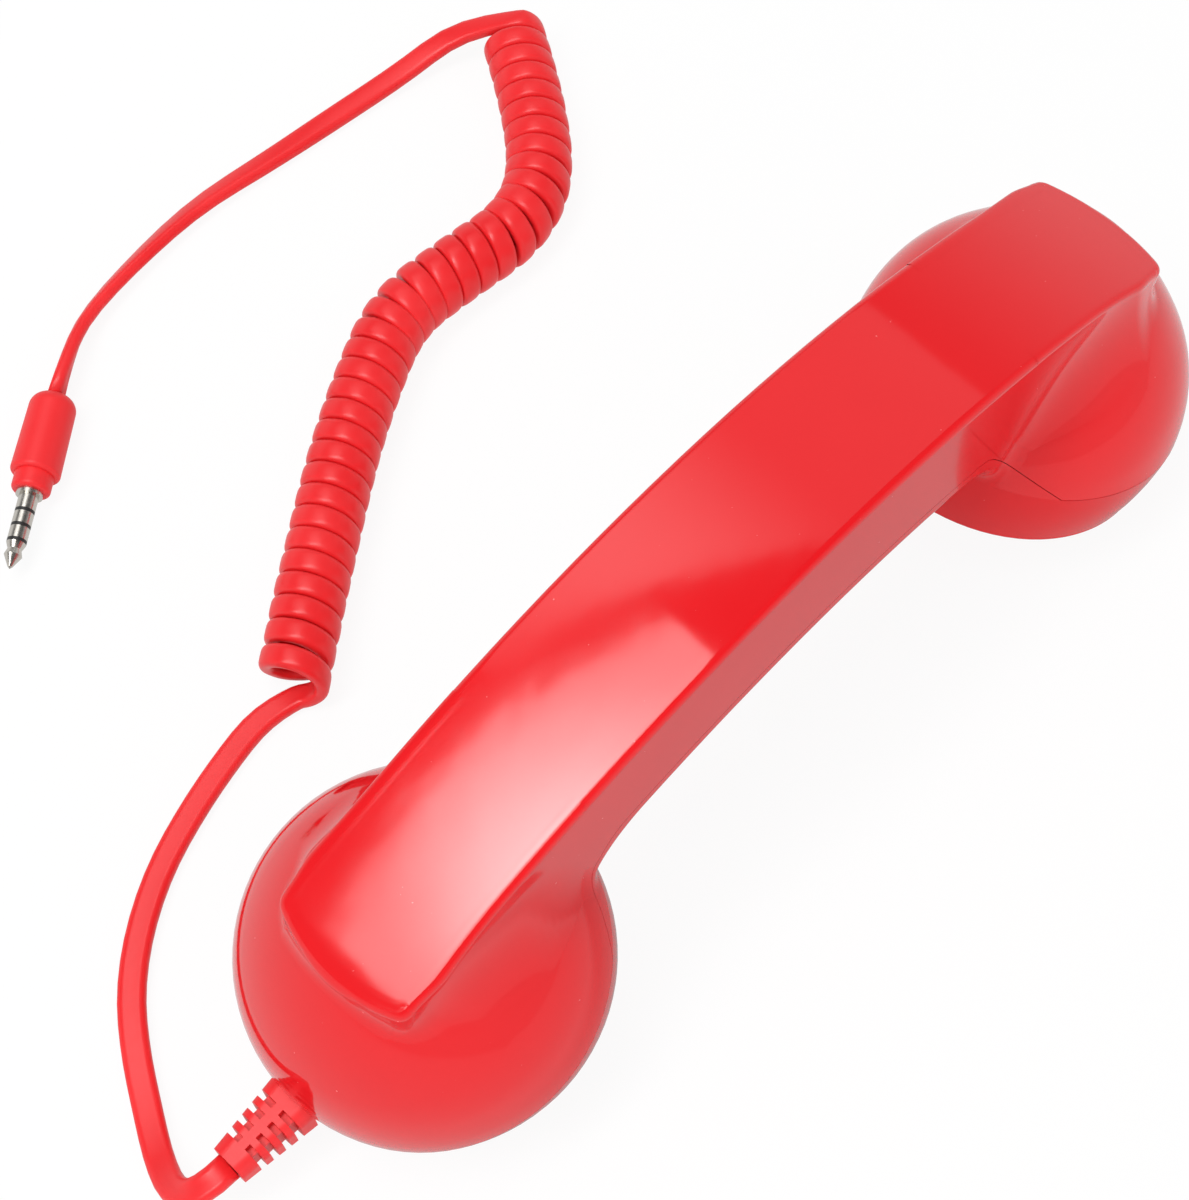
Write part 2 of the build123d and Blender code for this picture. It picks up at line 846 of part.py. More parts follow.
with BuildPart() as clamp_screws:
    add(upright_posts(clamp_screw_places, clamp_screw_radius, clamp_screw_end, clamp_top))
    add(upright_posts(clamp_screw_places, clamp_screw_head_radius, clamp_top, clamp_top + clamp_screw_head))
clamp_screws.part.label = "clamp_screws"
export_step(clamp_screws.part, "parts/clamp_screws.step")

# Cord and leads inside the handset
board_end = board_length / 2
capsule_end = cup_plane(MOUTH, capsule_top).origin
capsule_above = cup_plane(MOUTH, capsule_top + lead_stub).origin
magnet_end = cup_plane(EAR, basket_top + magnet_height).origin
magnet_above = cup_plane(EAR, basket_top + magnet_height + lead_stub).origin
inner_cord_route = (
    (-(relief_inner_face - relief_flange), 0, relief_height),
    (-(clamp_place - 6.0), 0, relief_height),
    (-(cup_spacing / 2 + 3.6), 0, climb(relief_height, 0.20)),
    (-(cup_spacing / 2 - 4.9), 0, climb(relief_height, 0.46)),
    (-56.0, 0, climb(relief_height, 0.71)),
    (-42.0, 0, climb(relief_height, 0.91)),
    (-27.5, 0, board_middle),
    (-board_end, 0, board_middle),
)
microphone_lead_route = (
    (-board_end, 4.5, board_middle),
    (-27.5, 4.5, board_middle),
    (-41.5, 4.5, climb(capsule_above.Z, 0.84)),
    (-55.0, 4.2, climb(capsule_above.Z, 0.50)),
    (-(cup_spacing / 2 - 5.4), 3.6, climb(capsule_above.Z, 0.22)),
    (capsule_above.X, lead_spread, capsule_above.Z),
    (capsule_end.X, lead_spread, capsule_end.Z),
)
speaker_lead_route = (
    (board_end, 0, board_middle),
    (27.5, 0, board_middle),
    (41.5, 0, climb(magnet_above.Z, 0.80)),
    (54.0, 0, climb(magnet_above.Z, 0.50)),
    (cup_spacing / 2 - 6.4, 0, climb(magnet_above.Z, 0.24)),
    (magnet_above.X, 0, magnet_above.Z),
    (magnet_end.X, 0, magnet_end.Z),
)

inner_cord = tube("inner_cord", inner_cord_route, inner_cord_width)
inner_cord.label = "inner_cord"
export_step(inner_cord, "parts/inner_cord.step")

microphone_leads = tube("microphone_leads", microphone_lead_route, lead_width)
microphone_leads.label = "microphone_leads"
export_step(microphone_leads, "parts/microphone_leads.step")

speaker_leads = tube("speaker_leads", speaker_lead_route, lead_width)
speaker_leads.label = "speaker_leads"
export_step(speaker_leads, "parts/speaker_leads.step")

# The cord outside: lead from the handset, curly stretch, and tail to the plug
lead_low = cord_width / 2
coil_low = coil_width / 2
cord_lead_route = (
    (-relief_tip_face, 0, relief_height),
    (-(relief_tip_face + 5.2), 0, relief_height),
    (-(relief_tip_face + 8.6), 3.6, 7.2),
    (-(relief_tip_face + 7.0), 10.4, 3.2),
    (-116.6, 18.6, lead_low),
    (-112.0, 26.6, lead_low),
    (-106.3, 34.4, lead_low),
    (-98.3, 41.3, lead_low),
    (-88.6, 46.9, lead_low),
    (-78.0, 50.6, lead_low),
    (-68.4, 51.6, lead_low),
    (-59.8, 49.2, lead_low),
    (-52.4, 53.1, lead_low),
)
cord_coil_route = (
    (-52.4, 53.1, coil_low),
    (-40.5, 61.9, coil_low),
    (-27.5, 71.0, coil_low),
    (-15.8, 79.0, coil_low),
    (-2.6, 86.7, coil_low),
    (11.6, 93.5, coil_low),
    (26.4, 92.4, coil_low),
    (40.0, 90.7, coil_low),
    (51.6, 95.2, coil_low),
    (64.0, 110.2, coil_low),
    (71.7, 122.9, coil_low),
)
cord_tail_route = (
    (74.6, 121.1, coil_low),
    (78.4, 127.3, 5.0),
    (74.2, 131.8, 3.2),
    (65.0, 132.4, lead_low),
    (52.7, 134.9, lead_low),
    (36.7, 137.2, lead_low),
    (20.6, 138.9, lead_low),
    (4.2, 140.9, lead_low),
    (-12.0, 139.6, lead_low),
    (-27.6, 136.9, lead_low),
    (
        plug_start[0] - plug_lead_in * plug_heading[0],
        plug_start[1] - plug_lead_in * plug_heading[1],
        plug_body_radius,
    ),
    (*plug_start, plug_body_radius),
)

cord_lead = tube("cord_lead", cord_lead_route, cord_width)
cord_lead.label = "cord_lead"
export_step(cord_lead, "parts/cord_lead.step")

cord_coil = tube("cord_coil", cord_coil_route, coil_width)
cord_coil.label = "cord_coil"
export_step(cord_coil, "parts/cord_coil.step")

cord_tail = tube("cord_tail", cord_tail_route, cord_width)
cord_tail.label = "cord_tail"
export_step(cord_tail, "parts/cord_tail.step")

# Plug: moulded body, then sleeve, rings and tip held apart by insulators
collar_start = plug_body_length
flange_start = collar_start + plug_collar_length
jack_start = flange_start + jack_flange
first_gap = jack_start + jack_sleeve
second_gap = first_gap + jack_insulator + jack_ring
third_gap = second_gap + jack_insulator + jack_ring
tip_start = third_gap + jack_insulator
tip_end = tip_start + jack_tip
core_end = tip_start + jack_core_depth

with BuildPart() as plug_body:
    with BuildSketch(plug_plane):
        with BuildLine():
            Polyline(
                (0, 0),
                (0, plug_back_radius),
                (collar_start, plug_body_radius),
                (collar_start, plug_collar_radius),
                (flange_start, plug_collar_radius),
                (flange_start, 0),
                close=True,
            )
        make_face()
        fillet(vertices().group_by(Axis.X)[0].sort_by(Axis.Y)[-1], plug_back_round)
        fillet(vertices().sort_by(Axis.Y)[-1], plug_front_round)
        fillet(vertices().group_by(Axis.X)[-1].sort_by(Axis.Y)[-1], plug_collar_round)
    revolve(axis=plug_axis)
plug_body.part.label = "plug_body"
export_step(plug_body.part, "parts/plug_body.step")

with BuildPart() as plug_sleeve:
    add(
        plug_piece(
            (flange_start, jack_core_radius),
            (flange_start, jack_flange_radius),
            (jack_start, jack_flange_radius),
            (jack_start, jack_radius),
            (first_gap, jack_radius),
            (first_gap, jack_core_radius),
        )
    )
plug_sleeve.part.label = "plug_sleeve"
export_step(plug_sleeve.part, "parts/plug_sleeve.step")

with BuildPart() as plug_ring_one:
    add(
        plug_piece(
            (first_gap + jack_insulator, jack_core_radius),
            (first_gap + jack_insulator, jack_radius),
            (second_gap, jack_radius),
            (second_gap, jack_core_radius),
        )
    )
plug_ring_one.part.label = "plug_ring_one"
export_step(plug_ring_one.part, "parts/plug_ring_one.step")

with BuildPart() as plug_ring_two:
    add(
        plug_piece(
            (second_gap + jack_insulator, jack_core_radius),
            (second_gap + jack_insulator, jack_radius),
            (third_gap, jack_radius),
            (third_gap, jack_core_radius),
        )
    )
plug_ring_two.part.label = "plug_ring_two"
export_step(plug_ring_two.part, "parts/plug_ring_two.step")

with BuildPart() as plug_tip:
    add(
        plug_piece(
            (tip_start, jack_core_radius),
            (tip_start, jack_radius),
            (tip_start + jack_tip_neck / 2, jack_neck_radius),
            (tip_start + jack_tip_neck, jack_radius - jack_tip_step),
            (tip_end - jack_point_radius, jack_point_radius),
            (tip_end, 0),
            (core_end, 0),
            (core_end, jack_core_radius),
        )
    )
plug_tip.part.label = "plug_tip"
export_step(plug_tip.part, "parts/plug_tip.step")

with BuildPart() as plug_insulators:
    add(plug_piece((flange_start, 0), (flange_start, jack_core_radius), (core_end, jack_core_radius), (core_end, 0)))
    for gap in (first_gap, second_gap, third_gap):
        add(
            plug_piece(
                (gap, 0),
                (gap, jack_radius),
                (gap + jack_insulator, jack_radius),
                (gap + jack_insulator, 0),
            )
        )
plug_insulators.part.label = "plug_insulators"
export_step(plug_insulators.part, "parts/plug_insulators.step")
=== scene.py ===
import math

import bmesh
import bpy
from mathutils import Matrix, Vector


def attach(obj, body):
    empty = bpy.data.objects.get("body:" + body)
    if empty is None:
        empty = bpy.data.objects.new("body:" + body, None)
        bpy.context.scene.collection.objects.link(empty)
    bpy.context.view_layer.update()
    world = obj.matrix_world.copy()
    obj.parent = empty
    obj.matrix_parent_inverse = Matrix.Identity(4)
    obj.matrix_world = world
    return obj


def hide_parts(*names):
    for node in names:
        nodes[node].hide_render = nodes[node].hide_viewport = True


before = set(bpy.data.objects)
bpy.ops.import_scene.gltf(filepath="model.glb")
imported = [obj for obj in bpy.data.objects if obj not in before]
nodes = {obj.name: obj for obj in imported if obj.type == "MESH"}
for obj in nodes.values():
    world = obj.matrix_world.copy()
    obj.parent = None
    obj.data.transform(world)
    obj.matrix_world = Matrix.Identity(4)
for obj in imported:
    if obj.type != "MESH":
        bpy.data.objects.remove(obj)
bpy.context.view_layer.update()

scene = bpy.context.scene
MM = 0.001
UPWARDS = Vector((0, 0, 1))

# Camera at the photograph's viewpoint, with its lens and sensor in millimetres
CAMERA_PLACE = Vector((-0.126358, -0.087950, 0.354324))
CAMERA_RIGHT = Vector((0.69007, -0.72374, 0.0))
CAMERA_UP = Vector((0.65251, 0.62215, 0.43262))
CAMERA_LENS = 67.30
SENSOR_HEIGHT = 36.0

# Cord: its flat section, its turns, and its route from the strain relief to the plug
CORD_WIDTH = 4.7 * MM
COIL_CORD_WIDTH = 4.2 * MM
CORD_THICKNESS = 2.6 * MM
CORD_GROOVE = 0.35 * MM
GROOVE_REACH = 0.45 * MM
FLAT_SHAPE = 0.55
SIDE_SHAPE = 0.75
SECTION_CORNERS = 24
COIL_RADIUS = 5.1 * MM
COIL_PITCH = 4.3 * MM
LOOSE_PITCH = 1.9 * MM
LOOSE_REACH = 4.0 * MM
TURN_STEPS = 20
AXIS_STEPS = 12
AXIS_POINTS = 1500
CORD_STEPS = 3
TWIST_START = 2
LEAD_LOW = 1.6 * MM
TAIL_LOW = 1.6 * MM
COIL_LOW = 6.7 * MM
PLUG_LOW = 4.5 * MM
LEAD_ROUTE = (
    (-0.1140, 0.0, 0.0116),
    (-0.1192, 0.0, 0.0116),
    (-0.1226, 0.0036, 0.0072),
    (-0.1210, 0.0104, 0.0025),
    (-0.1166, 0.0186, LEAD_LOW),
    (-0.1120, 0.0266, LEAD_LOW),
    (-0.1063, 0.0344, LEAD_LOW),
    (-0.0983, 0.0413, LEAD_LOW),
    (-0.0886, 0.0469, LEAD_LOW),
    (-0.0780, 0.0506, LEAD_LOW),
    (-0.0684, 0.0530, LEAD_LOW),
    (-0.0598, 0.0545, LEAD_LOW),
)
COIL_ROUTE = (
    (-0.0524, 0.0531, COIL_LOW),
    (-0.0405, 0.0619, COIL_LOW),
    (-0.0275, 0.0710, COIL_LOW),
    (-0.0158, 0.0790, COIL_LOW),
    (-0.0026, 0.0867, COIL_LOW),
    (0.0116, 0.0935, COIL_LOW),
    (0.0264, 0.0924, COIL_LOW),
    (0.0400, 0.0907, COIL_LOW),
    (0.0516, 0.0952, COIL_LOW),
    (0.0640, 0.1102, COIL_LOW),
    (0.0717, 0.1229, COIL_LOW),
)
TAIL_ROUTE = (
    (0.0650, 0.1324, 0.0060),
    (0.0527, 0.1349, 0.0025),
    (0.0367, 0.1372, TAIL_LOW),
    (0.0206, 0.1389, TAIL_LOW),
    (0.0042, 0.1409, 0.0020),
    (-0.0120, 0.1396, 0.0023),
    (-0.0276, 0.1369, 0.0026),
    (-0.0370, 0.1306, PLUG_LOW),
    (-0.0426, 0.1265, PLUG_LOW),
)


PLUG_METAL = ("plug_sleeve", "plug_ring_one", "plug_ring_two", "plug_tip")


class Signal:
    """A shader socket that Python's operators work on, adding Math nodes."""

    def __init__(self, graph, socket):
        self.graph = graph
        self.socket = socket

    def _math(self, operation, *values):
        return self.graph.node("ShaderNodeMath", {"operation": operation}, *values)

    def __add__(self, other):
        return self._math("ADD", self, other)

    def __radd__(self, other):
        return self._math("ADD", other, self)

    def __sub__(self, other):
        return self._math("SUBTRACT", self, other)

    def __rsub__(self, other):
        return self._math("SUBTRACT", other, self)

    def __mul__(self, other):
        return self._math("MULTIPLY", self, other)

    def __rmul__(self, other):
        return self._math("MULTIPLY", other, self)

    def __pow__(self, other):
        return self._math("POWER", self, other)


class Graph:
    """A node tree and the method that makes its nodes."""

    def __init__(self, tree):
        self.tree = tree

    def node(self, kind, settings, *values, output=0, **named):
        made = self.tree.nodes.new(kind)
        for key, value in settings.items():
            setattr(made, key, value)
        inputs = list(zip(range(len(values)), values))
        inputs += [(key.replace("_", " "), value) for key, value in named.items()]
        for key, value in inputs:
            self.feed(made.inputs[key], value)
        return Signal(self, made.outputs[output])

    def feed(self, socket, value):
        if isinstance(value, Signal):
            self.tree.links.new(value.socket, socket)
        elif socket.type == "RGBA" and len(value) == 3:
            socket.default_value = (*value, 1.0)
        else:
            socket.default_value = value

    def ramp(self, signal, low, high, start=0.0, end=1.0, shape="LINEAR"):
        return self.node(
            "ShaderNodeMapRange",
            {"clamp": True, "interpolation_type": shape},
            Value=signal,
            From_Min=low,
            From_Max=high,
            To_Min=start,
            To_Max=end,
        )

    def dot(self, vector, direction):
        return self.node(
            "ShaderNodeVectorMath", {"operation": "DOT_PRODUCT"}, vector, direction, output="Value"
        )


class Finish(Graph):
    """A material with one Principled shader."""

    def __init__(self, name, color, roughness, **constants):
        self.material = bpy.data.materials.new(name)
        self.material.use_nodes = True
        super().__init__(self.material.node_tree)
        self.shader = self.tree.nodes["Principled BSDF"]
        self.place = self.node("ShaderNodeTexCoord", {}, output="Object")
        self.set("Base Color", color)
        self.set("Roughness", roughness)
        for socket, value in constants.items():
            self.set(socket.replace("_", " "), value)

    def set(self, name, value):
        self.feed(self.shader.inputs[name], value)

    def noise(self, scale, detail=2.0, roughness=0.5):
        return self.node(
            "ShaderNodeTexNoise",
            {},
            Vector=self.place,
            Scale=scale,
            Detail=detail,
            Roughness=roughness,
        )

    def mix(self, factor, first, second):
        mixed = self.tree.nodes.new("ShaderNodeMix")
        mixed.data_type = "RGBA"
        self.feed(mixed.inputs["Factor"], factor)
        self.feed(mixed.inputs[6], first)
        self.feed(mixed.inputs[7], second)
        return Signal(self, mixed.outputs[2])

    def bump(self, height, distance, strength=1.0):
        raised = self.node(
            "ShaderNodeBump", {}, Height=height, Distance=distance, Strength=strength
        )
        self.set("Normal", raised)


def glossy_red(name):
    """Moulded gloss plastic: faint flow marks, dust specks and orange peel."""
    finish = Finish(name, (0.71, 0.009, 0.013), 0.07, IOR=1.5)
    clouds = finish.noise(18.0, 3.0)
    red = finish.mix(finish.ramp(clouds, 0.3, 0.7), (0.69, 0.007, 0.011), (0.73, 0.011, 0.015))
    dust = finish.noise(1400.0, 1.0)
    specks = finish.ramp(dust, 0.80, 0.84)
    finish.set("Base Color", finish.mix(specks * 0.5, red, (0.85, 0.30, 0.30)))
    finish.set("Roughness", 0.05 + clouds * 0.04 + specks * 0.3)
    finish.bump(finish.noise(90.0, 2.0), 0.00002)
    return finish.material


def soft_red(name, roughness, grain):
    """Soft moulded rubber with a fine matt grain."""
    finish = Finish(name, (0.80, 0.022, 0.026), roughness, IOR=1.42)
    clouds = finish.noise(60.0, 3.0)
    finish.set(
        "Base Color",
        finish.mix(finish.ramp(clouds, 0.3, 0.7), (0.77, 0.017, 0.021), (0.82, 0.025, 0.029)),
    )
    finish.set("Roughness", finish.ramp(clouds, 0.2, 0.8, roughness - 0.05, roughness + 0.08))
    finish.bump(finish.noise(grain, 3.0), 0.00003)
    return finish.material


def nickel(name):
    """Turned and plated metal, with a fine grain and uneven gloss."""
    finish = Finish(name, (0.62, 0.59, 0.54), 0.22, Metallic=1.0)
    wear = finish.noise(900.0, 3.0)
    finish.set("Roughness", finish.ramp(wear, 0.3, 0.7, 0.16, 0.32))
    finish.bump(finish.noise(2500.0, 2.0), 0.00001)
    return finish.material


def plain(name, color, roughness, grain=600.0, **constants):
    """Hidden pieces: one colour with a fine grain and uneven gloss."""
    finish = Finish(name, color, roughness, **constants)
    speckle = finish.noise(grain, 3.0)
    darker = tuple(0.8 * part for part in color)
    finish.set("Base Color", finish.mix(finish.ramp(speckle, 0.3, 0.7), darker, color))
    finish.set("Roughness", finish.ramp(speckle, 0.2, 0.8, roughness - 0.05, roughness + 0.1))
    finish.bump(speckle, 0.00002)
    return finish.material


def dress(material, *names):
    """Give CAD nodes their finish."""
    for name in names:
        mesh = nodes[name].data
        mesh.materials.clear()
        mesh.materials.append(material)


def grid_shape(rows):
    """A grid through rows of points, all of one length."""
    shape = bmesh.new()
    across = len(rows) - 1
    along = len(rows[0]) - 1
    bmesh.ops.create_grid(shape, x_segments=across, y_segments=along, size=1)
    for vertex in shape.verts:
        row = round((vertex.co.x + 1) / 2 * across)
        vertex.co = rows[row][round((vertex.co.y + 1) / 2 * along)]
    return shape


def new_piece(name, shape, material, body="handset"):
    """Turn a bmesh into a smooth piece that rides on a body."""
    bmesh.ops.recalc_face_normals(shape, faces=shape.faces)
    mesh = bpy.data.meshes.new(name)
    shape.to_mesh(mesh)
    shape.free()
    mesh.shade_smooth()
    mesh.materials.append(material)
    piece = bpy.data.objects.new(name, mesh)
    scene.collection.objects.link(piece)
    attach(piece, body)
    return piece


def follow(controls, steps):
    """Points along a smooth NURBS line through its control points' hull."""
    curve = bpy.data.curves.new("line", "CURVE")
    curve.dimensions = "3D"
    spline = curve.splines.new("NURBS")
    spline.points.add(len(controls) - 1)
    for point, place in zip(spline.points, controls):
        point.co = (*place, 1.0)
    spline.order_u = 3
    spline.use_endpoint_u = True
    spline.resolution_u = steps
    holder = bpy.data.objects.new("line", curve)
    mesh = bpy.data.meshes.new_from_object(holder)
    places = [vertex.co.copy() for vertex in mesh.vertices]
    bpy.data.meshes.remove(mesh)
    bpy.data.objects.remove(holder)
    bpy.data.curves.remove(curve)
    return places


def evenly(places, count):
    """The same line as points at even distances, and its length."""
    lengths = [0.0]
    for before, after in zip(places, places[1:]):
        lengths.append(lengths[-1] + (after - before).length)
    spaced = []
    index = 0
    for step in range(count):
        wanted = lengths[-1] * step / (count - 1)
        while index < len(places) - 2 and lengths[index + 1] <= wanted:
            index += 1
        span = lengths[index + 1] - lengths[index]
        spaced.append(places[index].lerp(places[index + 1], (wanted - lengths[index]) / span))
    return spaced, lengths[-1]


def coil_controls():
    """Left-handed turns round the coil's axis, with side and width at each point."""
    axis, length = evenly(follow(COIL_ROUTE, AXIS_STEPS), AXIS_POINTS)
    step = length / (len(axis) - 1)
    turns = 0.0
    last = -1
    controls = []
    total = sum(step / turn_pitch(index * step) for index in range(len(axis)))
    stretch = (math.floor(total) + 0.5) / total
    for index, centre in enumerate(axis[:-1]):
        mark = math.floor(turns * TURN_STEPS)
        if mark > last:
            last = mark
            ahead = (axis[index + 1] - centre).normalized()
            right = ahead.cross(UPWARDS)
            angle = 2 * math.pi * turns
            outward = -math.cos(angle) * UPWARDS + math.sin(angle) * right
            controls.append((centre + COIL_RADIUS * outward, outward, COIL_CORD_WIDTH))
        turns += stretch * step / turn_pitch(index * step)
    return controls


def turn_pitch(distance):
    """The coil's turns are loose where the lead comes in, then lie close."""
    return COIL_PITCH + LOOSE_PITCH * math.exp(-distance / LOOSE_REACH)


def cord_controls():
    """Place, smooth side and width along the cord, whose tail turns on edge at the plug."""
    lead = [(Vector(place), -UPWARDS, CORD_WIDTH) for place in LEAD_ROUTE]
    tail = []
    for index, place in enumerate(TAIL_ROUTE):
        ahead = Vector(TAIL_ROUTE[min(index + 1, len(TAIL_ROUTE) - 1)])
        behind = Vector(TAIL_ROUTE[max(index - 1, 0)])
        side = (ahead - behind).cross(UPWARDS).normalized()
        share = max(0.0, (index - TWIST_START) / (len(TAIL_ROUTE) - 1 - TWIST_START))
        twist = math.radians(90) * share
        outward = math.cos(twist) * UPWARDS + math.sin(twist) * side
        tail.append((Vector(place), outward, CORD_WIDTH))
    return lead + coil_controls() + tail


def cord_section(width):
    """Flat twin section: one smooth side, and a groove between the cores on the other."""
    section = []
    for corner in range(SECTION_CORNERS):
        angle = 2 * math.pi * corner / SECTION_CORNERS
        across = math.copysign(abs(math.cos(angle)) ** FLAT_SHAPE, math.cos(angle))
        across *= width / 2
        outward = math.copysign(abs(math.sin(angle)) ** SIDE_SHAPE, math.sin(angle))
        outward *= CORD_THICKNESS / 2
        if outward < 0:
            outward += CORD_GROOVE * math.exp(-((across / GROOVE_REACH) ** 2))
        section.append((across, outward))
    return section


def flat_cord(material):
    """The whole cord as one flat tube along a smooth line."""
    controls = cord_controls()
    path = follow([place for place, outward, width in controls], CORD_STEPS)
    guide = follow([place + MM * outward for place, outward, width in controls], CORD_STEPS)
    widths = follow([Vector((width, 0, 0)) for place, outward, width in controls], CORD_STEPS)
    rings = []
    for index, place in enumerate(path):
        ahead = path[min(index + 1, len(path) - 1)]
        behind = path[max(index - 1, 0)]
        tangent = (ahead - behind).normalized()
        outward = guide[index] - place
        outward = (outward - outward.dot(tangent) * tangent).normalized()
        across = tangent.cross(outward)
        ring = [place + x * across + y * outward for x, y in cord_section(widths[index].x)]
        rings.append(ring + ring[:1])
    shape = grid_shape(rings)
    bmesh.ops.remove_doubles(shape, verts=shape.verts, dist=0.001 * MM)
    ends = [edge for edge in shape.edges if edge.is_boundary]
    bmesh.ops.holes_fill(shape, edges=ends, sides=0)
    cord = new_piece("curly_cord", shape, material)
    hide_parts("cord_lead", "cord_coil", "cord_tail")
    return cord


# Handset forms that the cup fillets touch, in millimetres
CUP_SPACING = 144.8
CUP_TILT = math.radians(17.7)
CUP_HEIGHT = 21.67
DOME_LEAN = math.radians(5.0)
SEAM_POINT = Vector((29.7, -0.8))
SHOULDER_POINT = Vector((22.9, 16.0))
CROWN_POINT = Vector((6.0, 30.4))
RIBBON_TOP = 71.4
RIBBON_RADIUS = 186.0
RIBBON_HALF = 13.0
RIBBON_EDGE = 1.3
RIBBON_END = 88.6
END_BOW = 30.0
BOW_SHARE = 0.88
CORNER_RADIUS = 2.5
CORNER_INSET = 2.2
TOP_LAP = 2.5
FILLET_START = 49.5
FILLET_WIDEST = 62.0
FILLET_NARROWS = 78.0
FILLET_STOP = RIBBON_END - 2
FILLET_CREASE = 5.2
FILLET_END = 6.5
FILLET_LARGE = 25.0
FILLET_LIFT = 0.004
SIDE_STATIONS = 60
END_STATIONS = 12
EDGE_POINTS = 8
ARC_POINTS = 40
DOWN_POINTS = 22
HALVINGS = 30
LOWER_POINTS = 20
UPPER_POINTS = 30


def tangent_arc(start, heading, end, count):
    """Points of the arc that leaves start along heading and ends at end, and its last heading."""
    chord = end - start
    turn = 2 * math.atan2(heading.cross(chord), heading.dot(chord))
    side = Vector((-heading.y, heading.x))
    centre = start + chord.length_squared / (2 * chord.dot(side)) * side
    spin = [Matrix.Rotation(turn * step / count, 2) for step in range(count + 1)]
    return [centre + turned @ (start - centre) for turned in spin], spin[-1] @ heading


def dome_profile():
    """Half section of the dome: distance from the cup's axis and height along it."""
    heading = Vector((-math.sin(DOME_LEAN), math.cos(DOME_LEAN)))
    lower, heading = tangent_arc(SEAM_POINT, heading, SHOULDER_POINT, LOWER_POINTS)
    upper, heading = tangent_arc(SHOULDER_POINT, heading, CROWN_POINT, UPPER_POINTS)
    return lower + upper[1:] + [Vector((0.0, CROWN_POINT.y))]


DOME = dome_profile()
CUP_AXIS = Vector((math.sin(CUP_TILT), 0, math.cos(CUP_TILT)))
CUP_CENTRE = Vector((CUP_SPACING / 2, 0, CUP_HEIGHT))


def nearest_on_dome(place):
    """The nearest point on the ear cup's dome."""
    local = place - CUP_CENTRE
    height = local.dot(CUP_AXIS)
    radial = local - height * CUP_AXIS
    flat = Vector((radial.length, height))
    best = None
    for low, high in zip(DOME, DOME[1:]):
        span = high - low
        share = max(0.0, min(1.0, (flat - low).dot(span) / span.length_squared))
        candidate = low + share * span
        if best is None or (flat - candidate).length < (flat - best).length:
            best = candidate
    return CUP_CENTRE + best.y * CUP_AXIS + best.x * radial.normalized()


def ribbon_height(place):
    """Height of the arched ribbon's top."""
    return RIBBON_TOP - RIBBON_RADIUS + math.sqrt(RIBBON_RADIUS**2 - place.x**2)


def smooth(share):
    """Smooth step from 0 to 1."""
    share = max(0.0, min(1.0, share))
    return share * share * (3 - 2 * share)


def fillet_radius(x):
    """The blend starts small in the crease, widens along the cup and narrows at the end."""
    left = max(0.0, 1 - (x - FILLET_START) / (FILLET_WIDEST - FILLET_START))
    if left > 0:
        return FILLET_LARGE - (FILLET_LARGE - FILLET_CREASE) * left * left
    falling = smooth((FILLET_STOP - x) / (FILLET_STOP - FILLET_NARROWS))
    return FILLET_END + (FILLET_LARGE - FILLET_END) * falling


def ribbon_outline():
    """Points and outward sides along the ribbon, round the ear end."""
    bow_centre = RIBBON_END - END_BOW
    corner = math.asin(RIBBON_HALF / END_BOW)
    corner_x = bow_centre + END_BOW * math.cos(corner)
    side_end = corner_x - CORNER_INSET
    stations = []
    for step in range(SIDE_STATIONS):
        x = FILLET_START + (side_end - FILLET_START) * step / SIDE_STATIONS
        stations.append((Vector((x, -RIBBON_HALF, 0)), Vector((0, -1, 0))))
    inner = Vector((side_end, -RIBBON_HALF + CORNER_RADIUS, 0))
    for step in range(END_STATIONS):
        angle = -math.pi / 2 + (math.pi / 2 - corner) * step / END_STATIONS
        side = Vector((math.cos(angle), math.sin(angle), 0))
        stations.append((inner + CORNER_RADIUS * side, side))
    for step in range(END_STATIONS + 1):
        angle = -corner * BOW_SHARE * (1 - step / END_STATIONS)
        side = Vector((math.cos(angle), math.sin(angle), 0))
        stations.append((Vector((bow_centre, 0, 0)) + END_BOW * side, side))
    flip = Matrix.Diagonal((1, -1, 1))
    return stations + [(flip @ place, flip @ side) for place, side in stations[-2::-1]]


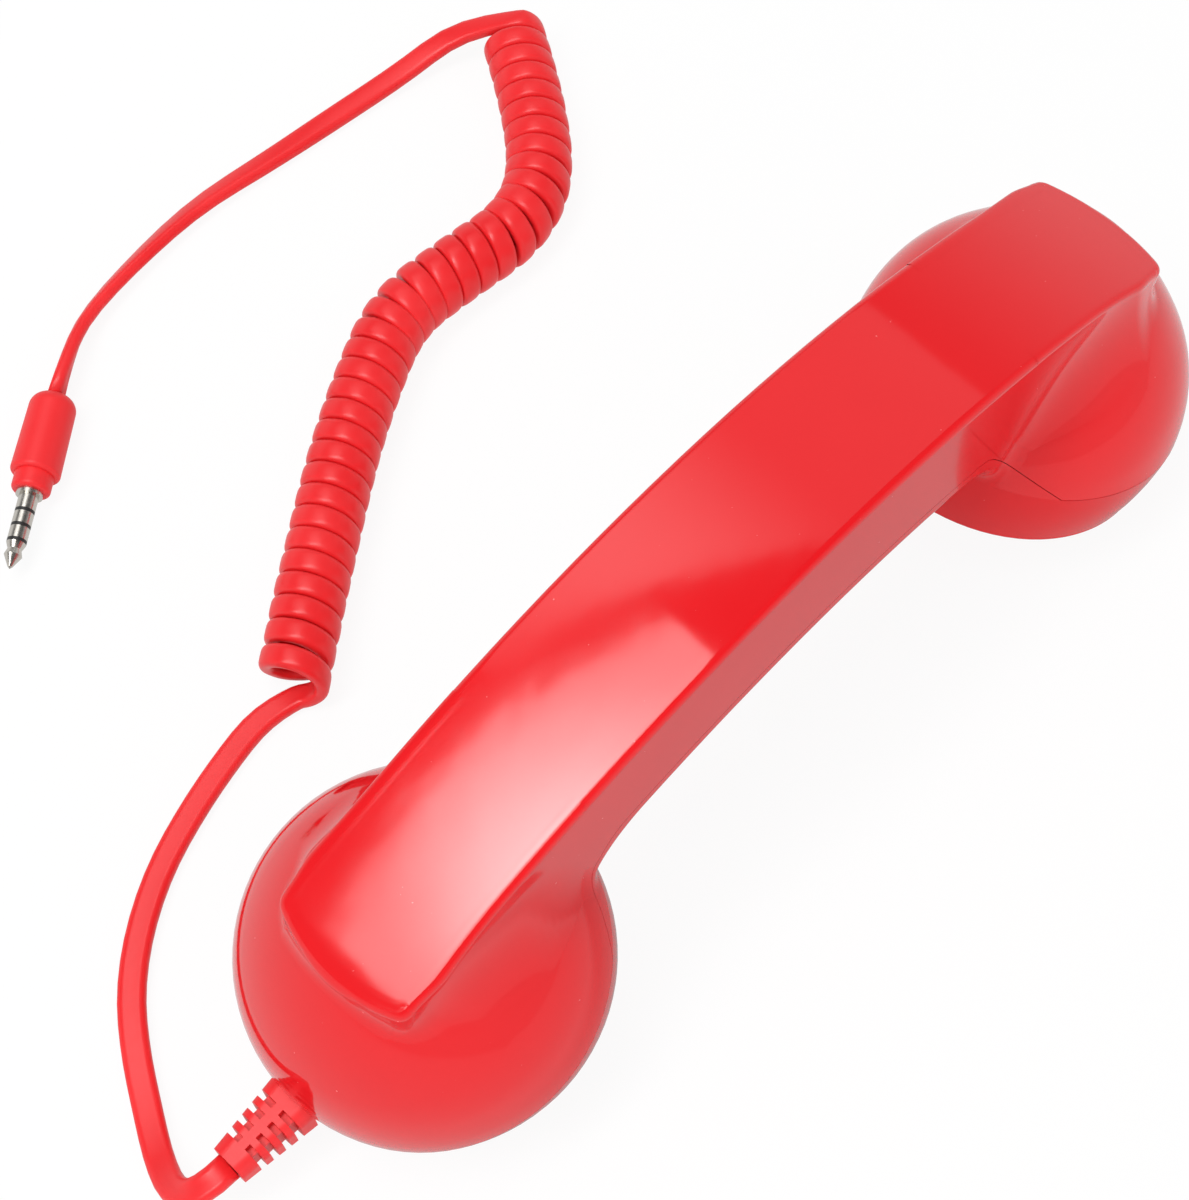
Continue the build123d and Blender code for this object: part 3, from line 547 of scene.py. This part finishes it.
def fillet_section(place, side):
    """Section from the ribbon's top, over its edge and down a ball's arc to the dome."""
    radius = fillet_radius(place.x)
    foot = place + radius * side
    low, high = CUP_HEIGHT, RIBBON_TOP
    for halving in range(HALVINGS):
        middle = (low + high) / 2
        centre = Vector((foot.x, foot.y, middle))
        if (centre - nearest_on_dome(centre)).length > radius:
            high = middle
        else:
            low = middle
    reach = (nearest_on_dome(centre) - centre).normalized()
    edge_height = ribbon_height(place) - RIBBON_EDGE

    def ball(share):
        return centre + radius * (-side).slerp(reach, share)

    begin, end = 0.0, 1.0
    for halving in range(HALVINGS):
        middle = (begin + end) / 2
        if ball(middle).z > edge_height:
            begin = middle
        else:
            end = middle
    if centre.z <= edge_height:
        begin = 0.0
    first = ball(begin)
    flare = (first - place).dot(side)
    lift = Vector((0, 0, FILLET_LIFT))
    top = place + (flare - RIBBON_EDGE) * side
    top.z = ribbon_height(top)
    inside = place - TOP_LAP * side
    inside.z = ribbon_height(inside)
    corner = place + flare * side
    corner.z = ribbon_height(corner)
    shoulder = Vector((first.x, first.y, edge_height))
    section = [inside, inside.lerp(top, 0.5) + lift, top + lift]
    for step in range(1, EDGE_POINTS + 1):
        share = step / EDGE_POINTS
        rounded = top.lerp(corner, share).lerp(corner.lerp(shoulder, share), share)
        section.append(rounded + FILLET_LIFT * side)
    down = [shoulder]
    for step in range(ARC_POINTS + 1):
        down.append(ball(begin + (1 - begin) * step / ARC_POINTS))
    for step, spot in enumerate(evenly(down, DOWN_POINTS)[0][1:], 1):
        section.append(spot + FILLET_LIFT * (1 - step / DOWN_POINTS) * side)
    return section


def cup_fillets(material):
    """Wide fillets that carry the ribbon's sides into the domes."""
    rows = [fillet_section(place, side) for place, side in ribbon_outline()]
    for name, mirror in (("ear_fillet", 1), ("mouth_fillet", -1)):
        place = Matrix.Diagonal((mirror * MM, MM, MM))
        shape = grid_shape([[place @ point for point in row] for row in rows])
        new_piece(name, shape, material)


# Studio, in metres: the share of the floor that glows, and the place beside the handle
# where its mirror image is dimmer, a painted shade that only reflections see
FLOOR_SIZE = 4.0
FLOOR_GLOW = 0.92
DIM_PLACE = (0.0, -0.02, 0.0)
DIM_LENGTH = 0.09
DIM_WIDTH = 0.04
DIM_INSIDE = 0.6
DIM_OUTSIDE = 0.22
HORIZON = 0.75
CEILING = 0.12
SIDE_LIGHT = 1.15
SOFTBOX_TURN = math.radians(-7.4)
SOFTBOX_ALONG = Vector((math.cos(SOFTBOX_TURN), math.sin(SOFTBOX_TURN), 0))
SOFTBOX_ACROSS = Vector((-math.sin(SOFTBOX_TURN), math.cos(SOFTBOX_TURN), 0))


def light_path(graph):
    """Whether a ray comes from the camera, from a gloss reflection or through glass."""
    seen = graph.node("ShaderNodeLightPath", {}, output="Is Camera Ray")
    others = seen.socket.node.outputs
    return (
        seen,
        Signal(graph, others["Is Glossy Ray"]),
        Signal(graph, others["Is Transmission Ray"]),
    )


def stage_material():
    """White studio floor that reads white to the camera and keeps a soft shadow, with painted
    shade in its mirror image beside the handle.
    """
    floor = Finish("studio_floor", (0.86, 0.86, 0.86), 0.9)
    seen, glossy, clear = light_path(floor)
    seen = floor.node("ShaderNodeMath", {"operation": "MAXIMUM"}, seen, glossy)
    seen = floor.node("ShaderNodeMath", {"operation": "MAXIMUM"}, seen, clear)
    spot = floor.node("ShaderNodeNewGeometry", {}, output="Position")
    away = floor.node("ShaderNodeVectorMath", {"operation": "SUBTRACT"}, spot, DIM_PLACE)
    along = floor.dot(away, (1 / DIM_LENGTH, 0.0, 0.0))
    across = floor.dot(away, (0.0, 1 / DIM_WIDTH, 0.0))
    distance = along * along + across * across
    # Painted shade: gloss rays see the floor darker round the place beside the handle
    shade = floor.ramp(distance, 0.6, 1.8, DIM_INSIDE, DIM_OUTSIDE, "SMOOTHSTEP")
    glow = floor.node(
        "ShaderNodeEmission", {}, Color=(1.0, 1.0, 1.0), Strength=1.0 - glossy * shade
    )
    blend = floor.node(
        "ShaderNodeMixShader",
        {},
        seen * FLOOR_GLOW,
        Signal(floor, floor.shader.outputs["BSDF"]),
        glow,
    )
    output = floor.tree.nodes["Material Output"]
    floor.tree.links.new(blend.socket, output.inputs["Surface"])
    return floor.material


def stage():
    """The floor, round the handset."""
    shape = bmesh.new()
    bmesh.ops.create_grid(shape, x_segments=1, y_segments=1, size=FLOOR_SIZE)
    mesh = bpy.data.meshes.new("studio_floor")
    shape.to_mesh(mesh)
    shape.free()
    mesh.materials.append(stage_material())
    floor = bpy.data.objects.new("studio_floor", mesh)
    scene.collection.objects.link(floor)


def softbox(name, place, size, radiance, hot_place, hot_size, rim):
    """Level rectangular lamp, brightest round one place and dimmer towards its rim."""
    lamp = bpy.data.lights.new(name, "AREA")
    lamp.shape = "RECTANGLE"
    lamp.size, lamp.size_y = size
    lamp.energy = radiance * math.pi * size[0] * size[1]
    lamp.use_nodes = True
    graph = Graph(lamp.node_tree)
    spot = graph.node("ShaderNodeNewGeometry", {}, output="Position")
    away = graph.node("ShaderNodeVectorMath", {"operation": "SUBTRACT"}, spot, hot_place)
    along = graph.dot(away, SOFTBOX_ALONG / hot_size[0])
    across = graph.dot(away, SOFTBOX_ACROSS / hot_size[1])
    distance = (along * along + across * across) ** 0.5
    level = graph.ramp(distance, 0.0, 1.0, 1.0, rim, "SMOOTHSTEP")
    graph.feed(lamp.node_tree.nodes["Emission"].inputs["Strength"], level)
    box = bpy.data.objects.new(name, lamp)
    box.location = place
    box.rotation_euler = (0, 0, SOFTBOX_TURN)
    scene.collection.objects.link(box)


def light():
    """Bright horizon, dim ceiling, light from the handle's near side, and two softboxes."""
    scene.world = bpy.data.worlds.new("studio")
    scene.world.use_nodes = True
    graph = Graph(scene.world.node_tree)
    direction = graph.node("ShaderNodeTexCoord", {}, output="Generated")
    height = graph.node("ShaderNodeSeparateXYZ", {}, direction, output="Z")
    aside = graph.dot(direction, (0.0, -1.0, 0.0))
    sky = graph.ramp(height, 0.1, 0.7, HORIZON, CEILING, "SMOOTHSTEP")
    lit = sky * 0.9 + graph.ramp(aside, 0.0, 1.0, 0.0, SIDE_LIGHT)
    mirrored = sky * graph.ramp(aside, -0.3, 0.5, 1.2, 0.75)
    seen, glossy = light_path(graph)[:2]
    unseen = lit + glossy * (mirrored - lit)
    strength = unseen + seen * (1.0 - unseen)
    background = graph.tree.nodes["Background"]
    graph.feed(background.inputs["Color"], (1.0, 1.0, 1.0))
    graph.feed(background.inputs["Strength"], strength)
    softbox(
        "key_softbox",
        place=(-0.506, 0.142, 1.0),
        size=(1.14, 0.376),
        radiance=15.8,
        hot_place=(-0.442, 0.216, 1.0),
        hot_size=(0.62, 0.13),
        rim=0.33,
    )
    softbox(
        "far_panel",
        place=(0.55, 0.60, 1.0),
        size=(1.5, 0.75),
        radiance=2.3,
        hot_place=(0.1, 0.3, 1.0),
        hot_size=(0.45, 1.0),
        rim=0.25,
    )


def camera():
    """The photograph's camera."""
    data = bpy.data.cameras.new("camera")
    data.sensor_fit = "VERTICAL"
    data.sensor_height = SENSOR_HEIGHT
    data.lens = CAMERA_LENS
    data.clip_start = 0.01
    eye = bpy.data.objects.new("camera", data)
    back = CAMERA_RIGHT.cross(CAMERA_UP)
    turn = Matrix((CAMERA_RIGHT, CAMERA_UP, back)).transposed()
    eye.matrix_world = Matrix.Translation(CAMERA_PLACE) @ turn.to_4x4()
    scene.collection.objects.link(eye)
    scene.camera = eye


def main():
    scene.view_settings.view_transform = "Standard"
    camera()
    stage()
    light()
    housing = glossy_red("housing_gloss")
    cord_rubber = soft_red("cord_rubber", 0.32, 500.0)
    moulded = soft_red("moulded_rubber", 0.42, 900.0)
    plating = nickel("nickel_plating")
    steel = plain("zinc_steel", (0.55, 0.55, 0.53), 0.35, Metallic=1.0)
    black = plain("black_plastic", (0.02, 0.02, 0.02), 0.4)
    cup_fillets(housing)
    dress(housing, "back_shell", "front_shell", "ear_cap", "mouth_cap", "answer_button")
    dress(moulded, "strain_relief", "plug_body")
    dress(cord_rubber, "inner_cord", "speaker_leads", "microphone_leads")
    dress(plating, *PLUG_METAL)
    dress(steel, "shell_screws", "board_screws", "clamp_screws", "speaker_magnet")
    dress(
        black,
        "plug_insulators",
        "speaker_gasket",
        "speaker_cone",
        "microphone_boot",
        "switch_plunger",
        "tact_switch",
        "amplifier_chip",
        "speaker_frame",
    )
    dress(plain("capsule_aluminium", (0.7, 0.7, 0.7), 0.3, Metallic=1.0), "microphone_capsule")
    dress(plain("board_green", (0.02, 0.16, 0.06), 0.35), "circuit_board")
    dress(plain("clamp_nylon", (0.7, 0.7, 0.66), 0.5), "cord_clamp")
    flat_cord(cord_rubber)


main()
